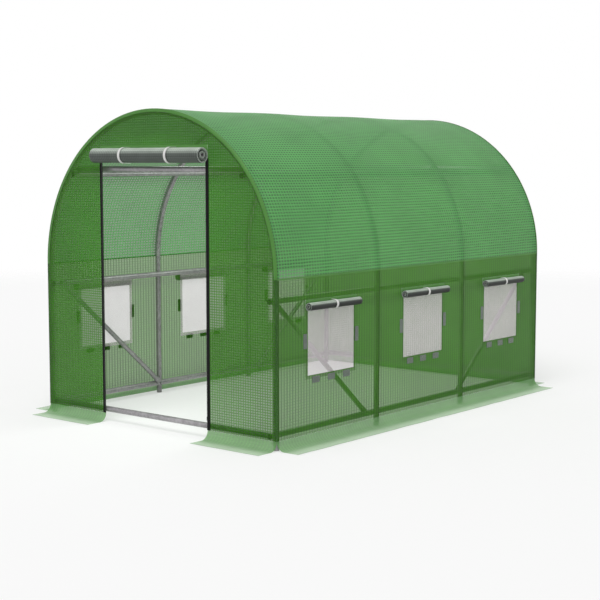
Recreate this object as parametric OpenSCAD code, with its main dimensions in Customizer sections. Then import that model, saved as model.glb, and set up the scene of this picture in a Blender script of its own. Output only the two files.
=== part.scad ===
// Polytunnel greenhouse: four tube hoops tied by rails and braces, under a woven film cover
// with a roll-up door in the front wall and three netted windows in each side wall.
// X runs across the tunnel, Y along it with the door at -Y, and Z up from the ground.

/* [Tunnel] */
// Outside width of the cover
tunnel_w = 2000; // [1800:10:2600]
// Outside length of the cover, from end wall to end wall
tunnel_l = 3000; // [2700:10:4500]
// Height of the cover's ridge above the ground
tunnel_h = 2000; // [1700:10:2500]

/* [Cover film] */
// Thickness of the cover film
film_t = 2; // [1:0.5:4]
// Inside radius of the bend where a skirt leaves its wall
skirt_bend = 55; // [30:1:90]
// Width of the skirt that lies flat on the ground past its bend
skirt_tail = 105; // [40:1:250]

/* [Frame tubes] */
// Outside diameter of the hoops, rails and bars
tube_d = 36; // [25:1:45]
// Wall thickness of every tube
tube_wall = 1.2; // [0.8:0.1:3]
// Length of straight tube at each end of a hoop's arch
arch_tail = 70; // [65:1:100]
// Length of the reduced end of a leg that plugs into the arch
spigot_l = 60; // [30:1:64]
// Height of the base rails and base bars
base_z = 80; // [60:1:140]
// Distance of the mid rails below the line where the arches spring
mid_drop = 130; // [115:1:240]
// Distance of the headers below the ridge
header_drop = 370; // [345:1:480]

/* [Braces] */
// Outside diameter of a brace
brace_d = 32; // [22:1:36]
// Thickness of a brace's flattened end
lug_t = 4; // [3:0.5:6]
// Width of a brace's flattened end
lug_w = 42; // [38:1:60]
// Length of the flat from its bolt to the start of the taper
lug_l = 32; // [22:1:50]
// Length of the taper from the flat to the round tube
taper_l = 45; // [25:1:80]
// Distance from a hoop's axis to the lug of the brace beside it
lug_inset = 40; // [25:1:100]

/* [Doorway] */
// Width of the doorway
door_w = 900; // [600:10:1000]
// Distance of the doorway's top edge below the ridge
door_drop = 285; // [260:1:300]
// Width of the zip tape beside the doorway
zip_w = 24; // [10:1:40]
// Thickness of the zip
zip_t = 4; // [2:0.5:8]
// Outside radius of the rolled-up door
door_roll_r = 48; // [36:1:60]
// Length of the rolled-up door past each edge of the doorway
door_roll_over = 20; // [0:1:60]
// Thickness of the rolled sheet of the door
door_sheet_t = 4; // [2:0.5:5]
// Outside diameter of the bar in the middle of the rolled-up door
door_bar_d = 25; // [16:1:30]
// Distance from the tunnel's middle to each tie of the door
door_tie_x = 200; // [100:5:300]

/* [Windows] */
// Width of a window opening
window_w = 450; // [300:10:560]
// Distance of a window's top edge below the line where the arches spring
window_drop = 175; // [160:5:260]
// Height of the sill above the ground
sill_z = 410; // [300:5:480]
// Thickness of the window net
net_t = 1.5; // [1:0.5:3]
// Width of the net's border sewn behind the film
net_border = 22; // [10:1:35]
// Outside radius of a rolled-up window flap
flap_roll_r = 25; // [18:1:30]
// Length of a rolled-up flap past each side of its window
flap_roll_over = 25; // [0:1:40]
// Thickness of the rolled sheet of a flap
flap_sheet_t = 3; // [1.5:0.5:4]
// Radius of the hollow in the middle of a rolled-up flap
flap_core_r = 5; // [3:0.5:8]

/* [Ties and tabs] */
// Width of a tie that holds a roll
tie_w = 18; // [8:1:30]
// Thickness of a tie
tie_t = 2; // [1:0.5:3]
// Height of a rolled sheet's top strip above its tie
strip_over = 12; // [4:1:30]
// Thickness of a hook-and-loop tab
tab_t = 2; // [1:0.5:3]
// Length of a tab under the sill
sill_tab_l = 70; // [40:1:90]
// Height of a tab under the sill
sill_tab_h = 38; // [20:1:60]
// Width of a tab beside the window
side_tab_w = 35; // [20:1:50]
// Height of a tab beside the window
side_tab_h = 90; // [50:1:140]
// Radius of a tab's corners
tab_corner = 5; // [2:0.5:9]
// Distance from the opening to a tab
tab_inset = 10; // [4:1:25]

/* [Clearances] */
// Gap between two pieces that rest on each other
seat = 0.3; // [0.1:0.05:0.6]
// Least gap between two turns of a rolled sheet
roll_gap = 2; // [1:0.5:4]
// Gap round a leg's reduced end in the bore of the arch
spigot_gap = 0.3; // [0.1:0.05:0.5]

/* [Hidden] */
$fn = 96;
hull_fn = 32;
// How far a cut runs past the faces it opens
past = 1;
// Thickness of the slices that a brace's taper is stretched between
slice = 0.5;

// The arch is half a circle as wide as the tunnel
arch_r = tunnel_w / 2;
spring_z = tunnel_h - arch_r;
mid_z = spring_z - mid_drop;
header_z = tunnel_h - header_drop;
door_top = tunnel_h - door_drop;
window_top = spring_z - window_drop;
window_h = window_top - sill_z;
skirt_top = skirt_bend + film_t;
wall_bottom = skirt_top + seat;

// Hoops lie against the film, and the rails against the inside of the hoops
tube_r = tube_d / 2;
hoop_r = arch_r - film_t - seat - tube_r;
hoop_y = tunnel_l / 2 - film_t - seat - tube_r;
bay = 2 * hoop_y / 3;
cross = tube_d + seat;
rail_x = hoop_r - cross;
rail_l = 2 * (hoop_y + tube_r);
joint_z = spring_z - arch_tail;

// A header lies on the inside of its end hoop, and the shoulder purlins pass under it
header_y = hoop_y - cross;
header_half = sqrt(pow(hoop_r, 2) - pow(header_z - spring_z, 2));
purlin_z = header_z - cross;
purlin_x = sqrt(pow(rail_x, 2) - pow(purlin_z - spring_z, 2));

// A brace runs on the inside of the rails, from the mid rail down to the base rail
brace_x = rail_x - tube_r - seat - lug_t / 2;
brace_run = bay - 2 * lug_inset;
brace_drop = mid_z - base_z;
brace_l = norm([brace_run, brace_drop]);
brace_angle = atan2(brace_drop, brace_run);

// A roll hangs just off its wall
door_roll_y = tunnel_l / 2 + seat + door_roll_r;
door_roll_l = door_w + 2 * door_roll_over;
flap_roll_x = tunnel_w / 2 + seat + flap_roll_r;
flap_roll_l = window_w + 2 * flap_roll_over;

// Place of a hoop along the tunnel, from 0 at the front to 3 at the rear
function hoop_place(i) = -hoop_y + i * bay;

// Places of the windows along the tunnel, in the middle of the bays
function window_places() = [for (i = [0 : 2]) hoop_place(i) + bay / 2];

// A tube along Z, centred on the origin
module tube(d, wall, l) {
    difference() {
        cylinder(d = d, h = l, center = true);
        cylinder(d = d - 2 * wall, h = l + 2 * past, center = true);
    }
}

// A frame tube along Y
module tube_along(l) {
    rotate([90, 0, 0]) tube(tube_d, tube_wall, l);
}

// A frame tube along X
module tube_across(l) {
    rotate([0, 90, 0]) tube(tube_d, tube_wall, l);
}

// The right-hand piece, or its mirror image on the left
module on_side(side) {
    mirror([side < 0 ? 1 : 0, 0, 0]) children();
}

// The front piece, or its mirror image at the rear
module at_end(end) {
    mirror([0, end > 0 ? 1 : 0, 0]) children();
}

// A bent arch with a straight length at each end
module hoop_arch(i) {
    color("darkgray") translate([0, hoop_place(i), spring_z]) {
        rotate([90, 0, 0]) rotate_extrude(angle = 180) translate([hoop_r, 0]) difference() {
            circle(d = tube_d);
            circle(d = tube_d - 2 * tube_wall);
        }
        for (side = [-1, 1]) translate([side * hoop_r, 0, -arch_tail / 2])
            tube(tube_d, tube_wall, arch_tail);
    }
}

// Two straight legs, each with a reduced end that plugs into the arch
module hoop_legs(i) {
    bore_d = tube_d - 2 * tube_wall;
    leg_l = joint_z - seat;
    shoulder_z = leg_l - 2 * tube_wall;
    spigot_d = bore_d - 2 * spigot_gap;
    color("darkgray") for (side = [-1, 1]) translate([side * hoop_r, hoop_place(i), 0])
        difference() {
            union() {
                cylinder(d = tube_d, h = leg_l);
                cylinder(d = spigot_d, h = leg_l + spigot_l);
            }
            translate([0, 0, -past]) cylinder(d = bore_d, h = shoulder_z + past);
            cylinder(d = spigot_d - 2 * tube_wall, h = leg_l + spigot_l + past);
        }
}

module base_rail(side) {
    color("gray") translate([side * rail_x, 0, base_z]) tube_along(rail_l);
}

// A bar between the base rails, its ends coped to fit their round sides
module base_bar(end) {
    color("gray") translate([0, end * hoop_y, base_z]) difference() {
        tube_across(2 * rail_x);
        for (side = [-1, 1]) translate([side * rail_x, 0, 0]) rotate([90, 0, 0])
            cylinder(d = tube_d + 2 * seat, h = tube_d + 2 * past, center = true);
    }
}

module mid_rail(side) {
    color("gray") translate([side * rail_x, 0, mid_z]) tube_along(rail_l);
}

module shoulder_purlin(side) {
    color("gray") translate([side * purlin_x, 0, purlin_z]) tube_along(rail_l);
}

module header(end) {
    color("gray") translate([0, end * header_y, header_z]) tube_across(2 * header_half);
}

// The flattened end of a brace, from its bolt at the origin towards +X
module brace_end() {
    rotate([90, 0, 0]) linear_extrude(lug_t, center = true) {
        circle(d = lug_w);
        translate([0, -lug_w / 2]) square([lug_l, lug_w]);
    }
    hull() {
        translate([lug_l, 0, 0]) cube([slice, lug_t, lug_w], center = true);
        translate([lug_l + taper_l, 0, 0]) rotate([0, 90, 0])
            cylinder(d = brace_d, h = slice, center = true, $fn = hull_fn);
    }
}

// A diagonal from the mid rail at an end hoop down to the base rail at the next hoop
module brace(side, end) {
    round_l = brace_l - 2 * (lug_l + taper_l);
    color("darkgray") on_side(side) at_end(end)
        translate([brace_x, -hoop_y + lug_inset, mid_z]) rotate([0, 0, 90]) rotate([0, brace_angle, 0]) {
            brace_end();
            translate([brace_l, 0, 0]) mirror([1, 0, 0]) brace_end();
            translate([brace_l / 2, 0, 0]) rotate([0, 90, 0]) tube(brace_d, tube_wall, round_l);
        }
}

// Half a cylinder of film over the arches, between the end walls
module roof_cover() {
    color("mediumseagreen") translate([0, 0, spring_z]) rotate([90, 0, 0])
        linear_extrude(tunnel_l - 2 * (film_t + seat), center = true) difference() {
            circle(r = arch_r);
            circle(r = arch_r - film_t);
            translate([-arch_r - past, -arch_r - past]) square([2 * (arch_r + past), arch_r + past]);
        }
}

// A flat side of film with its three windows cut through
module side_wall(side) {
    wall_l = tunnel_l - 2 * (film_t + seat);
    color("forestgreen") on_side(side) translate([arch_r - film_t, 0, 0]) difference() {
        translate([0, -wall_l / 2, wall_bottom]) cube([film_t, wall_l, spring_z - seat - wall_bottom]);
        for (y = window_places()) translate([-past, y - window_w / 2, sill_z])
            cube([film_t + 2 * past, window_w, window_h]);
    }
}

// Outline of an end wall
module end_outline() {
    translate([-arch_r, wall_bottom]) square([tunnel_w, spring_z - wall_bottom]);
    intersection() {
        translate([0, spring_z]) circle(r = arch_r);
        translate([-arch_r, spring_z - past]) square([tunnel_w, arch_r + past]);
    }
}

// The part of an end wall inside an upright rectangle, standing at the front or the rear
module end_panel(end, low_x, high_x, low_z) {
    color("forestgreen") translate([0, end * (tunnel_l - film_t) / 2, 0]) rotate([90, 0, 0])
        linear_extrude(film_t, center = true) intersection() {
            end_outline();
            translate([low_x, low_z]) square([high_x - low_x, tunnel_h - low_z]);
        }
}

module front_wall_side(side) {
    on_side(side) end_panel(-1, door_w / 2, arch_r, wall_bottom);
}

module front_wall_top() {
    half = door_w / 2 - seat;
    end_panel(-1, -half, half, door_top);
}

module rear_wall() {
    end_panel(1, -arch_r, arch_r, wall_bottom);
}

// Section of a skirt: X out from the wall's outer face, Y up from the ground
module skirt_section() {
    intersection() {
        translate([skirt_bend, skirt_top]) difference() {
            circle(r = skirt_top);
            circle(r = skirt_bend);
        }
        translate([-film_t, 0]) square([skirt_top, skirt_top]);
    }
    translate([skirt_bend, 0]) square([skirt_tail, film_t]);
}

module side_skirt(side) {
    color("darkseagreen") on_side(side) translate([arch_r, 0, 0]) rotate([90, 0, 0])
        linear_extrude(tunnel_l - 2 * film_t, center = true) skirt_section();
}

// A skirt along an end wall, from one place across the tunnel to another
module end_skirt(end, low_x, high_x) {
    color("darkseagreen") at_end(end) translate([(low_x + high_x) / 2, -tunnel_l / 2, 0])
        rotate([90, 0, -90]) linear_extrude(high_x - low_x, center = true) skirt_section();
}

// Half of one turn of a rolled sheet, above or below the line through its centre
module half_turn(r, t, upper) {
    intersection() {
        difference() {
            circle(r = r + t / 2);
            circle(r = r - t / 2);
        }
        translate([-r - t, upper ? 0 : -r - t]) square([2 * (r + t), r + t]);
    }
}

// Section of a rolled sheet with its free end up the wall: X out from the wall, Y up.
// Upper half turns share one centre and lower ones another, half a pitch apart.
module roll_section(roll_r, t, core_r) {
    outer_r = roll_r - t / 2;
    inner_r = core_r + t / 2;
    halves = 2 * floor((outer_r - inner_r) / (t + roll_gap));
    step = (outer_r - inner_r) / halves;
    for (k = [0 : halves]) translate([k % 2 == 0 ? 0 : step, 0])
        half_turn(outer_r - k * step, t, k % 2 == 1);
    translate([-roll_r, 0]) square([t, roll_r + seat + tie_t + strip_over]);
}

// Section of a tie: sewn to the roll's free end above, round the roll, and to the wall below
module tie_section(roll_r, t) {
    inner_r = roll_r + seat;
    outer_r = inner_r + tie_t;
    difference() {
        intersection() {
            circle(r = outer_r);
            translate([0, -outer_r]) square([outer_r, 2 * outer_r]);
        }
        circle(r = inner_r);
    }
    upper_l = roll_r - t - seat;
    translate([-upper_l, inner_r]) square([upper_l, tie_t]);
    translate([-roll_r, -outer_r]) square([roll_r, tie_t]);
}

// Stands a section on the front wall, X of the section pointing out of the wall
module on_front(x, z, l) {
    translate([x, -door_roll_y, z]) rotate([90, 0, -90]) linear_extrude(l, center = true) children();
}

// Stands a section on the right wall
module on_wall(y, z, l) {
    translate([flap_roll_x, y, z]) rotate([90, 0, 0]) linear_extrude(l, center = true) children();
}

module door_roll() {
    color("slategray") on_front(0, door_top, door_roll_l)
        roll_section(door_roll_r, door_sheet_t, door_bar_d / 2 + seat);
}

// The bar that weights the door's lower edge, in the middle of the roll
module door_roll_bar() {
    color("silver") translate([0, -door_roll_y, door_top]) rotate([0, 90, 0])
        tube(door_bar_d, tube_wall, door_roll_l);
}

module door_ties() {
    color("white") for (side = [-1, 1]) on_front(side * door_tie_x, door_top, tie_w)
        tie_section(door_roll_r, door_sheet_t);
}

// Zip tapes down both edges of the doorway, from the narrow space behind the roll to the skirt
module door_zips() {
    zip_top = door_top - sqrt(pow(door_roll_r, 2) - pow(door_roll_r - zip_t - seat, 2));
    color("black") for (side = [-1, 1]) on_side(side)
        translate([door_w / 2, -tunnel_l / 2 - seat - zip_t, wall_bottom])
            cube([zip_w, zip_t, zip_top - wall_bottom]);
}

module window_nets(side) {
    border = 2 * net_border;
    color("gainsboro") on_side(side) for (y = window_places())
        translate([arch_r - film_t - seat - net_t, y - window_w / 2 - net_border, sill_z - net_border])
            cube([net_t, window_w + border, window_h + border]);
}

module window_rolls(side) {
    color("darkslategray") on_side(side) for (y = window_places()) on_wall(y, window_top, flap_roll_l)
        roll_section(flap_roll_r, flap_sheet_t, flap_core_r);
}

module window_roll_ties() {
    color("white") for (side = [-1, 1]) on_side(side) for (y = window_places())
        on_wall(y, window_top, tie_w) tie_section(flap_roll_r, flap_sheet_t);
}

// A tab with round corners, centred at a point of the right wall
module tab(y, z, w, h) {
    translate([arch_r + seat, y, z]) rotate([90, 0, 90]) linear_extrude(tab_t) {
        square([w - 2 * tab_corner, h], center = true);
        square([w, h - 2 * tab_corner], center = true);
        for (u = [-1, 1], v = [-1, 1])
            translate([u * (w / 2 - tab_corner), v * (h / 2 - tab_corner)]) circle(r = tab_corner);
    }
}

// Three tabs under each sill and one on each side of each window
module window_tabs() {
    side_y = window_w / 2 + tab_inset + side_tab_w / 2;
    sill_tab_z = sill_z - tab_inset - sill_tab_h / 2;
    color("dimgray") for (side = [-1, 1]) on_side(side) for (y = window_places()) {
        for (i = [-1 : 1]) tab(y + i * window_w / 3, sill_tab_z, sill_tab_l, sill_tab_h);
        for (i = [-1, 1]) tab(y + i * side_y, sill_z + window_h / 2, side_tab_w, side_tab_h);
    }
}

hoop_arch(0);  // front_hoop_arch
hoop_arch(1);  // second_hoop_arch
hoop_arch(2);  // third_hoop_arch
hoop_arch(3);  // rear_hoop_arch
hoop_legs(0);  // front_hoop_legs
hoop_legs(1);  // second_hoop_legs
hoop_legs(2);  // third_hoop_legs
hoop_legs(3);  // rear_hoop_legs
base_rail(-1);  // left_base_rail
base_rail(1);  // right_base_rail
base_bar(-1);  // front_base_bar
base_bar(1);  // rear_base_bar
mid_rail(-1);  // left_mid_rail
mid_rail(1);  // right_mid_rail
shoulder_purlin(-1);  // left_shoulder_purlin
shoulder_purlin(1);  // right_shoulder_purlin
header(-1);  // front_header
header(1);  // rear_header
brace(-1, -1);  // left_front_brace
brace(-1, 1);  // left_rear_brace
brace(1, -1);  // right_front_brace
brace(1, 1);  // right_rear_brace
roof_cover();
side_wall(-1);  // left_side_wall
side_wall(1);  // right_side_wall
front_wall_side(-1);  // front_wall_left
front_wall_side(1);  // front_wall_right
front_wall_top();
rear_wall();
side_skirt(-1);  // left_skirt
side_skirt(1);  // right_skirt
end_skirt(-1, -arch_r, -door_w / 2);  // front_left_skirt
end_skirt(-1, door_w / 2, arch_r);  // front_right_skirt
end_skirt(1, -arch_r, arch_r);  // rear_skirt
door_roll();
door_roll_bar();
door_ties();
door_zips();
window_nets(-1);  // left_window_nets
window_nets(1);  // right_window_nets
window_rolls(-1);  // left_window_rolls
window_rolls(1);  // right_window_rolls
window_roll_ties();
window_tabs();
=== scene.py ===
"""Looks of a walk-in polytunnel greenhouse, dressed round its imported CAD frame.

The tube frame keeps its CAD solids. The film cover, skirts, rolled door, zips, window nets, rolled flaps,
ties and tabs are modelled here and stand for the plain solids that hold their places.
"""

from __future__ import annotations

import logging
import math
from collections.abc import Callable, Iterable, Sequence
from dataclasses import dataclass
from enum import Enum

import bmesh
import bpy
from bmesh.types import BMEdge, BMesh, BMVert
from bpy.types import Node, NodeSocket, NodeTree, Object
from mathutils import Matrix, Vector, noise


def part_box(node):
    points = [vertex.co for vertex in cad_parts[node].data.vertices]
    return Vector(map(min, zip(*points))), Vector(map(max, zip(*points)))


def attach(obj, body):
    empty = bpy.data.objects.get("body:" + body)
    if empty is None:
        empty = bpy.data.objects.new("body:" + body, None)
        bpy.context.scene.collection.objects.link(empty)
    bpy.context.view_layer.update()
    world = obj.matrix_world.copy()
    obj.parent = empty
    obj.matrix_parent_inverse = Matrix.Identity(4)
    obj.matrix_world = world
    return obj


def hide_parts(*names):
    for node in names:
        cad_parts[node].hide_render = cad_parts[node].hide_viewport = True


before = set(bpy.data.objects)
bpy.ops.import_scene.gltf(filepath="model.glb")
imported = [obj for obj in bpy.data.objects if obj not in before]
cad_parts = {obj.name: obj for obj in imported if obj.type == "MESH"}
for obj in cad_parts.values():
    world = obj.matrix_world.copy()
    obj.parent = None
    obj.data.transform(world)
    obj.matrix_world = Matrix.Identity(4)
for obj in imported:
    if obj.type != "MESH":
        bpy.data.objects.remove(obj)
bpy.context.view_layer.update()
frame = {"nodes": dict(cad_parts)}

LOG = logging.getLogger("polytunnel")
BODY = "root"
FLAT_MAP = "flat"
HIGH_NOTE = "high"
TUBE_WORDS = ("hoop", "rail", "bar", "purlin", "header", "brace")
BAYS = 3
TINY = 1e-6
SEAT = 0.0003
X, Y, Z = range(3)
CLEAR_TINT = (0.96, 1.0, 0.93, 1.0)
WHITE = (1.0, 1.0, 1.0, 1.0)
UP = Vector((0.0, 0.0, 1.0))

Colour = tuple[float, float, float]
Inputs = dict[str | int, object]


class Wall(Enum):
    """A wall of the tunnel, by the way it faces across and along the tunnel."""

    LEFT = (-1.0, 0.0)
    RIGHT = (1.0, 0.0)
    FRONT = (0.0, -1.0)
    REAR = (0.0, 1.0)

    @property
    def out(self) -> Vector:
        """The way the wall faces."""
        return Vector((*self.value, 0.0))

    @property
    def along(self) -> Vector:
        """The way along the wall that makes a right-handed set with out and up."""
        return Vector((self.value[1], -self.value[0], 0.0))

    @property
    def word(self) -> str:
        """The wall's name as the CAD nodes write it."""
        return self.name.lower()

    def stand(self, at: Vector) -> Matrix:
        """Places a piece that was built with X along, Y out of and Z up a wall, its origin at a point."""
        turn = Matrix((self.along, self.out, UP)).transposed().to_4x4()
        return Matrix.Translation(at) @ turn


SIDES = (Wall.LEFT, Wall.RIGHT)
ENDS = (Wall.FRONT, Wall.REAR)
RIGHT = Wall.RIGHT.out
BACK = Wall.REAR.out


class Weave(Enum):
    """Yarn layout of a film: pitch across and along the cut, then each yarn's share of its pitch."""

    GRID = (0.0190, 0.0156, 0.34, 0.34)
    UPRIGHT = (0.026, 0.017, 0.46, 0.16)
    ROWS = (0.025, 0.019, 0.40, 0.46)
    FINE = (0.009, 0.009, 0.40, 0.40)


class NodeBench:
    """Adds nodes to one shader tree, with each input given as a value or as a link."""

    def __init__(self, tree: NodeTree) -> None:
        """Takes the tree to work on."""
        self.tree = tree

    @classmethod
    def on(cls, owner: bpy.types.Material | bpy.types.World) -> NodeBench:
        """A bench on the emptied tree of a material or a world.

        Args:
            owner: The material or world.

        Returns:
            The bench.
        """
        owner.use_nodes = True
        owner.node_tree.nodes.clear()
        return cls(owner.node_tree)

    def feed(self, socket: NodeSocket, value: object) -> None:
        """Links an output to a socket, or sets the socket's own value.

        Args:
            socket: The socket of a node.
            value: An output or a plain value.
        """
        if isinstance(value, NodeSocket):
            self.tree.links.new(value, socket)
        else:
            socket.default_value = value

    def add(self, kind: str, inputs: Inputs | None = None, **settings: object) -> Node:
        """Adds a node.

        Args:
            kind: Blender's name for the kind of node.
            inputs: Values or outputs for its inputs, by name or index.
            **settings: Values for the node's own properties.

        Returns:
            The new node.
        """
        node = self.tree.nodes.new(kind)
        for key, value in settings.items():
            setattr(node, key, value)
        for key, value in (inputs or {}).items():
            self.feed(node.inputs[key], value)
        return node

    def first(self, kind: str, inputs: Inputs | None = None, **settings: object) -> NodeSocket:
        """The first output of a new node."""
        return self.add(kind, inputs, **settings).outputs[0]

    def maths(self, operation: str, *values: object) -> NodeSocket:
        """The result of a Math node on numbers or outputs."""
        return self.first("ShaderNodeMath", dict(enumerate(values)), operation=operation)

    def ramp(
        self, value: NodeSocket, start: object = 0.0, end: object = 1.0, low: object = 0.0, high: object = 1.0
    ) -> NodeSocket:
        """A smooth step from start to end, as a value goes from low to high."""
        inputs = {"Value": value, "From Min": low, "From Max": high, "To Min": start, "To Max": end}
        return self.first("ShaderNodeMapRange", inputs, interpolation_type="SMOOTHSTEP")

    def blend(self, share: NodeSocket, *colours: object) -> NodeSocket:
        """A mix of two colours, by share of the second.

        Args:
            share: Share of the second colour.
            *colours: Both colours, as values or outputs.

        Returns:
            The mixed colour.
        """
        first, second = ((*c, 1.0) if isinstance(c, tuple) else c for c in colours)
        # The node's sockets have the same names for each kind of data, so the colour ones go by number.
        inputs = {0: share, 6: first, 7: second}
        return self.add("ShaderNodeMix", inputs, data_type="RGBA", clamp_factor=True).outputs[2]

    def tint(self, colour: object, tone: NodeSocket) -> NodeSocket:
        """A colour times a tone."""
        return self.first("ShaderNodeVectorMath", {0: colour, "Scale": tone}, operation="SCALE")

    def bump(self, height: NodeSocket, depth: float, strength: float) -> NodeSocket:
        """A normal bent by a height."""
        return self.first("ShaderNodeBump", {"Height": height, "Distance": depth, "Strength": strength})

    def flat(self) -> NodeSocket:
        """Places on the piece's flat cut, in metres."""
        return self.first("ShaderNodeUVMap", uv_map=FLAT_MAP)

    def place(self) -> NodeSocket:
        """Places in the tunnel, in metres."""
        return self.add("ShaderNodeTexCoord").outputs["Object"]

    def seen(self) -> NodeSocket:
        """Tells rays that show a thing to the eye from rays that light one.

        Returns:
            1 for a ray from the camera, a mirror or glass, and 0 for one that lights a surface.
        """
        path = self.add("ShaderNodeLightPath").outputs
        shown = self.maths("MAXIMUM", path["Is Camera Ray"], path["Is Transmission Ray"])
        shown = self.maths("MAXIMUM", shown, path["Is Glossy Ray"])
        # A ray that scatters through film counts as a transmission ray too, but it only lights.
        return self.maths("SUBTRACT", shown, path["Is Diffuse Ray"])

    def mix(self, share: object, first: NodeSocket, second: NodeSocket) -> NodeSocket:
        """A mix of two shaders, by share of the second."""
        return self.first("ShaderNodeMixShader", {0: share, 1: first, 2: second})

    def surface(
        self,
        colour: NodeSocket,
        rough: NodeSocket,
        normal: NodeSocket,
        gloss: float = 0.5,
        sheen: float = 0.0,
        metal: float = 0.0,
    ) -> NodeSocket:
        """A shader that lets no light through.

        Args:
            colour: Its colour.
            rough: Its roughness.
            normal: Its normal.
            gloss: Level of the plain reflection.
            sheen: Weight of the soft sheen at a slant.
            metal: Share of bare metal.

        Returns:
            The shader.
        """
        inputs = {"Base Color": colour, "Roughness": rough, "Normal": normal, "Metallic": metal}
        plain = {"Specular IOR Level": gloss, "Sheen Weight": sheen}
        return self.first("ShaderNodeBsdfPrincipled", inputs | plain)

    def film(
        self, face: NodeSocket, colour: NodeSocket, normal: NodeSocket, glow: float, cover: NodeSocket
    ) -> None:
        """Ends the tree with see-through film.

        Args:
            face: Shader of the film's face.
            colour: Colour of the light that scatters through.
            normal: Normal of the film.
            glow: Share of the stopped light that scatters through to the other side.
            cover: Share of light that the film stops.
        """
        through = self.first("ShaderNodeBsdfTranslucent", {"Color": colour, "Normal": normal})
        clear = self.first("ShaderNodeBsdfTransparent", {"Color": CLEAR_TINT})
        self.output(self.mix(cover, clear, self.mix(glow, face, through)))

    def output(self, shader: NodeSocket) -> None:
        """Ends the tree with a shader."""
        self.add("ShaderNodeOutputMaterial", {"Surface": shader})


class EffectGroup:
    """A shader node group that several finishes share, built on first use.

    Attributes:
        name: Name of the group.
        place: Name of its vector input.
        numbers: Name and first value of each number input.
        outputs: Names of its outputs.
    """

    name: str = ""
    place: str = "Place"
    numbers: tuple[tuple[str, float], ...] = ()
    outputs: tuple[str, ...] = ()

    @classmethod
    def tree(cls) -> NodeTree:
        """The group's tree.

        Returns:
            The tree, which is built if it isn't there yet.
        """
        made = bpy.data.node_groups.get(cls.name)
        if made is None:
            made = bpy.data.node_groups.new(cls.name, "ShaderNodeTree")
            made.interface.new_socket(cls.place, in_out="INPUT", socket_type="NodeSocketVector")
            for label, value in cls.numbers:
                socket = made.interface.new_socket(label, in_out="INPUT", socket_type="NodeSocketFloat")
                socket.default_value = value
            for label in cls.outputs:
                made.interface.new_socket(label, in_out="OUTPUT", socket_type="NodeSocketFloat")
            bench = NodeBench(made)
            given = bench.add("NodeGroupInput").outputs
            result = bench.add("NodeGroupOutput").inputs
            for label, value in cls.work(bench, given).items():
                bench.feed(result[label], value)
        return made

    @classmethod
    def work(cls, bench: NodeBench, given: bpy.types.NodeOutputs) -> dict[str, NodeSocket]:
        """Builds the inside of the group on its inputs, and gives what comes out, by name."""
        raise NotImplementedError

    @classmethod
    def lay(cls, bench: NodeBench, place: NodeSocket, **numbers: object) -> bpy.types.NodeOutputs:
        """Places the group in a tree, with values for its number inputs by name in small letters."""
        named = {key.replace("_", " ").title(): value for key, value in numbers.items()}
        return bench.add("ShaderNodeGroup", {cls.place: place} | named, node_tree=cls.tree()).outputs


class WeaveGroup(EffectGroup):
    """Yarns of a reinforced film: where they run, and how far they stand up."""

    name = "film_weave"
    place = "Flat"
    numbers = (
        ("Pitch Across", 0.016),
        ("Pitch Along", 0.016),
        ("Yarn Across", 0.34),
        ("Yarn Along", 0.34),
        ("Softness", 0.08),
    )
    outputs = ("Yarn", "Height")

    @classmethod
    def work(cls, bench: NodeBench, given: bpy.types.NodeOutputs) -> dict[str, NodeSocket]:
        """Builds one set of yarns each way and joins them.

        Args:
            bench: Bench of the group's tree.
            given: The group's inputs.

        Returns:
            What comes out, by name.
        """
        parts = bench.add("ShaderNodeSeparateXYZ", {0: given["Flat"]}).outputs
        sets = []
        for axis, word in ((X, "Across"), (Y, "Along")):
            turns = bench.maths("DIVIDE", parts[axis], given[f"Pitch {word}"])
            away = bench.maths("PINGPONG", turns, 0.5)
            half = bench.maths("MULTIPLY", given[f"Yarn {word}"], 0.5)
            inner = bench.maths("SUBTRACT", half, given["Softness"])
            outer = bench.maths("ADD", half, given["Softness"])
            sets.append(bench.ramp(away, start=1.0, end=0.0, low=inner, high=outer))
        height = bench.maths("MULTIPLY", bench.maths("ADD", *sets), 0.5)
        return {"Yarn": bench.maths("MAXIMUM", *sets), "Height": height}

    @classmethod
    def over(
        cls, bench: NodeBench, flat: NodeSocket, layout: tuple[float, ...], **more: float
    ) -> bpy.types.NodeOutputs:
        """Lays yarns over a flat cut, by four numbers in the order of a Weave."""
        words = ("pitch_across", "pitch_along", "yarn_across", "yarn_along")
        return cls.lay(bench, flat, **dict(zip(words, layout, strict=True)), **more)


class MottleGroup(EffectGroup):
    """A slow, uneven tone, as dust and handling leave on a surface."""

    name = "uneven_tone"
    numbers = (("Scale", 3.0), ("Low", 0.9), ("High", 1.1))
    outputs = ("Tone",)

    @classmethod
    def work(cls, bench: NodeBench, given: bpy.types.NodeOutputs) -> dict[str, NodeSocket]:
        """Builds the tone from one noise.

        Args:
            bench: Bench of the group's tree.
            given: The group's inputs.

        Returns:
            What comes out, by name.
        """
        inputs = {"Vector": given["Place"], "Scale": given["Scale"], "Detail": 4.0, "Roughness": 0.6}
        cloud = bench.first("ShaderNodeTexNoise", inputs)
        return {"Tone": bench.ramp(cloud, given["Low"], given["High"], low=0.3, high=0.7)}


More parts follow.
